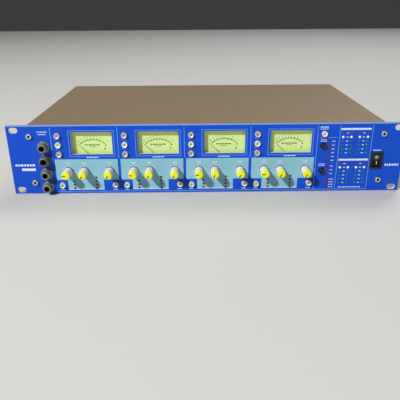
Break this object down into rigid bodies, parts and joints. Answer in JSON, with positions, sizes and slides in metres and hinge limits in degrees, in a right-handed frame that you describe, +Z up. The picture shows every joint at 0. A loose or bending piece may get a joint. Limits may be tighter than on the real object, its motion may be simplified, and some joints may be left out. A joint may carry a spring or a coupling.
{
  "type": "rack preamplifier",
  "caption": "Rack-mounted audio preamplifier with moving-coil level meters, capped rotary knobs, round push buttons, front jacks and a mains rocker.",
  "frame": {"origin": "centre of the four rack slots, on the rear face of the front panel", "axes": "+X to the right along the panel, +Y to the back, +Z up"},
  "size_m": [0.4826, 0.293, 0.0882],
  "materials": {
    "blue_paint": "fine satin paint",
    "bright_screw": "bright plated",
    "tray_steel": "zinc-plated sheet",
    "cover_paint": "satin",
    "rear_black": "fine black powder coat",
    "dark_screw": "black zinc",
    "meter_plastic": "matte",
    "dial": "matt pale green-yellow",
    "window": "clear",
    "jack_nut": "satin nickel",
    "pot_metal": "plain",
    "switch_plastic": "matte",
    "led_lens": "tinted lens, unlit",
    "board": "solder mask",
    "screening_can": "drawn can",
    "winding": "taped winding",
    "inlet_plastic": "moulded",
    "socket_metal": "black plated die casting",
    "jack_plastic": "moulded",
    "switch_gloss": "moulded",
    "rocker_gloss": "moulded",
    "knob_plastic": "satin body with a yellow cap",
    "button_plastic": "milky translucent",
    "button_black": "moulded",
    "needle": "black"
  },
  "bodies": {
    "case": {"front_panel": "blue_paint", "panel_screws": "bright_screw", "chassis_tray": "tray_steel", "top_cover": "cover_paint", "rear_panel": "rear_black", "case_screws": "dark_screw", "meter_housings": "meter_plastic", "meter_dials": "dial", "meter_windows": "window", "instrument_jacks": "jack_nut", "potentiometers": "pot_metal", "button_switches": "switch_plastic", "indicator_leds": "led_lens", "circuit_boards": "board", "input_transformers": "screening_can", "mains_transformer": "winding", "mains_inlet": "inlet_plastic", "xlr_sockets": "socket_metal", "line_jacks": "jack_plastic", "power_switch_body": "switch_gloss"},
    "ch1_gain_knob": {"ch1_gain_knob": "knob_plastic"},
    "ch1_trim_knob": {"ch1_trim_knob": "knob_plastic"},
    "ch1_filter_knob": {"ch1_filter_knob": "knob_plastic"},
    "ch2_gain_knob": {"ch2_gain_knob": "knob_plastic"},
    "ch2_trim_knob": {"ch2_trim_knob": "knob_plastic"},
    "ch2_filter_knob": {"ch2_filter_knob": "knob_plastic"},
    "ch3_gain_knob": {"ch3_gain_knob": "knob_plastic"},
    "ch3_trim_knob": {"ch3_trim_knob": "knob_plastic"},
    "ch3_filter_knob": {"ch3_filter_knob": "knob_plastic"},
    "ch4_gain_knob": {"ch4_gain_knob": "knob_plastic"},
    "ch4_trim_knob": {"ch4_trim_knob": "knob_plastic"},
    "ch4_filter_knob": {"ch4_filter_knob": "knob_plastic"},
    "ch1_phantom_button": {"ch1_phantom_button": "button_plastic"},
    "ch1_phase_button": {"ch1_phase_button": "button_plastic"},
    "ch1_filter_button": {"ch1_filter_button": "button_plastic"},
    "ch1_input_button": {"ch1_input_button": "button_plastic"},
    "ch1_insert_button": {"ch1_insert_button": "button_plastic"},
    "ch2_phantom_button": {"ch2_phantom_button": "button_plastic"},
    "ch2_phase_button": {"ch2_phase_button": "button_plastic"},
    "ch2_filter_button": {"ch2_filter_button": "button_plastic"},
    "ch2_input_button": {"ch2_input_button": "button_plastic"},
    "ch2_insert_button": {"ch2_insert_button": "button_plastic"},
    "ch3_phantom_button": {"ch3_phantom_button": "button_plastic"},
    "ch3_phase_button": {"ch3_phase_button": "button_plastic"},
    "ch3_filter_button": {"ch3_filter_button": "button_plastic"},
    "ch3_input_button": {"ch3_input_button": "button_plastic"},
    "ch3_insert_button": {"ch3_insert_button": "button_plastic"},
    "ch4_phantom_button": {"ch4_phantom_button": "button_plastic"},
    "ch4_phase_button": {"ch4_phase_button": "button_plastic"},
    "ch4_filter_button": {"ch4_filter_button": "button_plastic"},
    "ch4_input_button": {"ch4_input_button": "button_plastic"},
    "ch4_insert_button": {"ch4_insert_button": "button_plastic"},
    "reset_button": {"reset_button": "button_plastic"},
    "clock_button": {"clock_button": "button_black"},
    "source_button": {"source_button": "button_black"},
    "ch1_meter_needle": {"ch1_meter_needle": "needle"},
    "ch2_meter_needle": {"ch2_meter_needle": "needle"},
    "ch3_meter_needle": {"ch3_meter_needle": "needle"},
    "ch4_meter_needle": {"ch4_meter_needle": "needle"},
    "power_rocker": {"power_rocker": "rocker_gloss"}
  },
  "joints": [
    {"name": "ch1_gain_knob_turn", "type": "hinge", "parent": "case", "child": "ch1_gain_knob", "pos_m": [-0.1712, 0, -0.0144], "axis": [0, 1, 0], "range_deg": [-60, 240]},
    {"name": "ch1_trim_knob_turn", "type": "hinge", "parent": "case", "child": "ch1_trim_knob", "pos_m": [-0.1515, 0, -0.0144], "axis": [0, 1, 0], "range_deg": [0, 300]},
    {"name": "ch1_filter_knob_turn", "type": "hinge", "parent": "case", "child": "ch1_filter_knob", "pos_m": [-0.1203, 0, -0.0144], "axis": [0, 1, 0], "range_deg": [0, 300]},
    {"name": "ch2_gain_knob_turn", "type": "hinge", "parent": "case", "child": "ch2_gain_knob", "pos_m": [-0.0905, 0, -0.0144], "axis": [0, 1, 0], "range_deg": [-60, 240]},
    {"name": "ch2_trim_knob_turn", "type": "hinge", "parent": "case", "child": "ch2_trim_knob", "pos_m": [-0.0708, 0, -0.0144], "axis": [0, 1, 0], "range_deg": [0, 300]},
    {"name": "ch2_filter_knob_turn", "type": "hinge", "parent": "case", "child": "ch2_filter_knob", "pos_m": [-0.0396, 0, -0.0144], "axis": [0, 1, 0], "range_deg": [0, 300]},
    {"name": "ch3_gain_knob_turn", "type": "hinge", "parent": "case", "child": "ch3_gain_knob", "pos_m": [-0.0098, 0, -0.0144], "axis": [0, 1, 0], "range_deg": [-60, 240]},
    {"name": "ch3_trim_knob_turn", "type": "hinge", "parent": "case", "child": "ch3_trim_knob", "pos_m": [0.0099, 0, -0.0144], "axis": [0, 1, 0], "range_deg": [0, 300]},
    {"name": "ch3_filter_knob_turn", "type": "hinge", "parent": "case", "child": "ch3_filter_knob", "pos_m": [0.0411, 0, -0.0144], "axis": [0, 1, 0], "range_deg": [0, 300]},
    {"name": "ch4_gain_knob_turn", "type": "hinge", "parent": "case", "child": "ch4_gain_knob", "pos_m": [0.0709, 0, -0.0144], "axis": [0, 1, 0], "range_deg": [-60, 240]},
    {"name": "ch4_trim_knob_turn", "type": "hinge", "parent": "case", "child": "ch4_trim_knob", "pos_m": [0.0906, 0, -0.0144], "axis": [0, 1, 0], "range_deg": [0, 300]},
    {"name": "ch4_filter_knob_turn", "type": "hinge", "parent": "case", "child": "ch4_filter_knob", "pos_m": [0.1218, 0, -0.0144], "axis": [0, 1, 0], "range_deg": [0, 300]},
    {"name": "ch1_phantom_button_press", "type": "slide", "parent": "case", "child": "ch1_phantom_button", "axis": [0, 1, 0], "range_m": [0, 0.0015], "stiffness_N_per_m": 600, "springref_m": -0.0005},
    {"name": "ch1_phase_button_press", "type": "slide", "parent": "case", "child": "ch1_phase_button", "axis": [0, 1, 0], "range_m": [0, 0.0015], "stiffness_N_per_m": 600, "springref_m": -0.0005},
    {"name": "ch1_filter_button_press", "type": "slide", "parent": "case", "child": "ch1_filter_button", "axis": [0, 1, 0], "range_m": [0, 0.0015], "stiffness_N_per_m": 600, "springref_m": -0.0005},
    {"name": "ch1_input_button_press", "type": "slide", "parent": "case", "child": "ch1_input_button", "axis": [0, 1, 0], "range_m": [0, 0.0015], "stiffness_N_per_m": 600, "springref_m": -0.0005},
    {"name": "ch1_insert_button_press", "type": "slide", "parent": "case", "child": "ch1_insert_button", "axis": [0, 1, 0], "range_m": [0, 0.0015], "stiffness_N_per_m": 600, "springref_m": -0.0005},
    {"name": "ch2_phantom_button_press", "type": "slide", "parent": "case", "child": "ch2_phantom_button", "axis": [0, 1, 0], "range_m": [0, 0.0015], "stiffness_N_per_m": 600, "springref_m": -0.0005},
    {"name": "ch2_phase_button_press", "type": "slide", "parent": "case", "child": "ch2_phase_button", "axis": [0, 1, 0], "range_m": [0, 0.0015], "stiffness_N_per_m": 600, "springref_m": -0.0005},
    {"name": "ch2_filter_button_press", "type": "slide", "parent": "case", "child": "ch2_filter_button", "axis": [0, 1, 0], "range_m": [0, 0.0015], "stiffness_N_per_m": 600, "springref_m": -0.0005},
    {"name": "ch2_input_button_press", "type": "slide", "parent": "case", "child": "ch2_input_button", "axis": [0, 1, 0], "range_m": [0, 0.0015], "stiffness_N_per_m": 600, "springref_m": -0.0005},
    {"name": "ch2_insert_button_press", "type": "slide", "parent": "case", "child": "ch2_insert_button", "axis": [0, 1, 0], "range_m": [0, 0.0015], "stiffness_N_per_m": 600, "springref_m": -0.0005},
    {"name": "ch3_phantom_button_press", "type": "slide", "parent": "case", "child": "ch3_phantom_button", "axis": [0, 1, 0], "range_m": [0, 0.0015], "stiffness_N_per_m": 600, "springref_m": -0.0005},
    {"name": "ch3_phase_button_press", "type": "slide", "parent": "case", "child": "ch3_phase_button", "axis": [0, 1, 0], "range_m": [0, 0.0015], "stiffness_N_per_m": 600, "springref_m": -0.0005},
    {"name": "ch3_filter_button_press", "type": "slide", "parent": "case", "child": "ch3_filter_button", "axis": [0, 1, 0], "range_m": [0, 0.0015], "stiffness_N_per_m": 600, "springref_m": -0.0005},
    {"name": "ch3_input_button_press", "type": "slide", "parent": "case", "child": "ch3_input_button", "axis": [0, 1, 0], "range_m": [0, 0.0015], "stiffness_N_per_m": 600, "springref_m": -0.0005},
    {"name": "ch3_insert_button_press", "type": "slide", "parent": "case", "child": "ch3_insert_button", "axis": [0, 1, 0], "range_m": [0, 0.0015], "stiffness_N_per_m": 600, "springref_m": -0.0005},
    {"name": "ch4_phantom_button_press", "type": "slide", "parent": "case", "child": "ch4_phantom_button", "axis": [0, 1, 0], "range_m": [0, 0.0015], "stiffness_N_per_m": 600, "springref_m": -0.0005},
    {"name": "ch4_phase_button_press", "type": "slide", "parent": "case", "child": "ch4_phase_button", "axis": [0, 1, 0], "range_m": [0, 0.0015], "stiffness_N_per_m": 600, "springref_m": -0.0005},
    {"name": "ch4_filter_button_press", "type": "slide", "parent": "case", "child": "ch4_filter_button", "axis": [0, 1, 0], "range_m": [0, 0.0015], "stiffness_N_per_m": 600, "springref_m": -0.0005},
    {"name": "ch4_input_button_press", "type": "slide", "parent": "case", "child": "ch4_input_button", "axis": [0, 1, 0], "range_m": [0, 0.0015], "stiffness_N_per_m": 600, "springref_m": -0.0005},
    {"name": "ch4_insert_button_press", "type": "slide", "parent": "case", "child": "ch4_insert_button", "axis": [0, 1, 0], "range_m": [0, 0.0015], "stiffness_N_per_m": 600, "springref_m": -0.0005},
    {"name": "reset_button_press", "type": "slide", "parent": "case", "child": "reset_button", "axis": [0, 1, 0], "range_m": [0, 0.0015], "stiffness_N_per_m": 600, "springref_m": -0.0005},
    {"name": "clock_button_press", "type": "slide", "parent": "case", "child": "clock_button", "axis": [0, 1, 0], "range_m": [0, 0.0015], "stiffness_N_per_m": 600, "springref_m": -0.0005},
    {"name": "source_button_press", "type": "slide", "parent": "case", "child": "source_button", "axis": [0, 1, 0], "range_m": [0, 0.0015], "stiffness_N_per_m": 600, "springref_m": -0.0005},
    {"name": "ch1_meter_needle_swing", "type": "hinge", "parent": "case", "child": "ch1_meter_needle", "pos_m": [-0.1398, 0.003, 0.0008], "axis": [0, 1, 0], "range_deg": [0, 90], "stiffness_Nm_per_rad": 0.0002, "springref_deg": -5.73},
    {"name": "ch2_meter_needle_swing", "type": "hinge", "parent": "case", "child": "ch2_meter_needle", "pos_m": [-0.0591, 0.003, 0.0008], "axis": [0, 1, 0], "range_deg": [0, 90], "stiffness_Nm_per_rad": 0.0002, "springref_deg": -5.73},
    {"name": "ch3_meter_needle_swing", "type": "hinge", "parent": "case", "child": "ch3_meter_needle", "pos_m": [0.0216, 0.003, 0.0008], "axis": [0, 1, 0], "range_deg": [0, 90], "stiffness_Nm_per_rad": 0.0002, "springref_deg": -5.73},
    {"name": "ch4_meter_needle_swing", "type": "hinge", "parent": "case", "child": "ch4_meter_needle", "pos_m": [0.1023, 0.003, 0.0008], "axis": [0, 1, 0], "range_deg": [0, 90], "stiffness_Nm_per_rad": 0.0002, "springref_deg": -5.73},
    {"name": "power_rocker_tip", "type": "hinge", "parent": "case", "child": "power_rocker", "pos_m": [0.209, -0.001, -0.003], "axis": [1, 0, 0], "range_deg": [0, 24]}
  ]
}
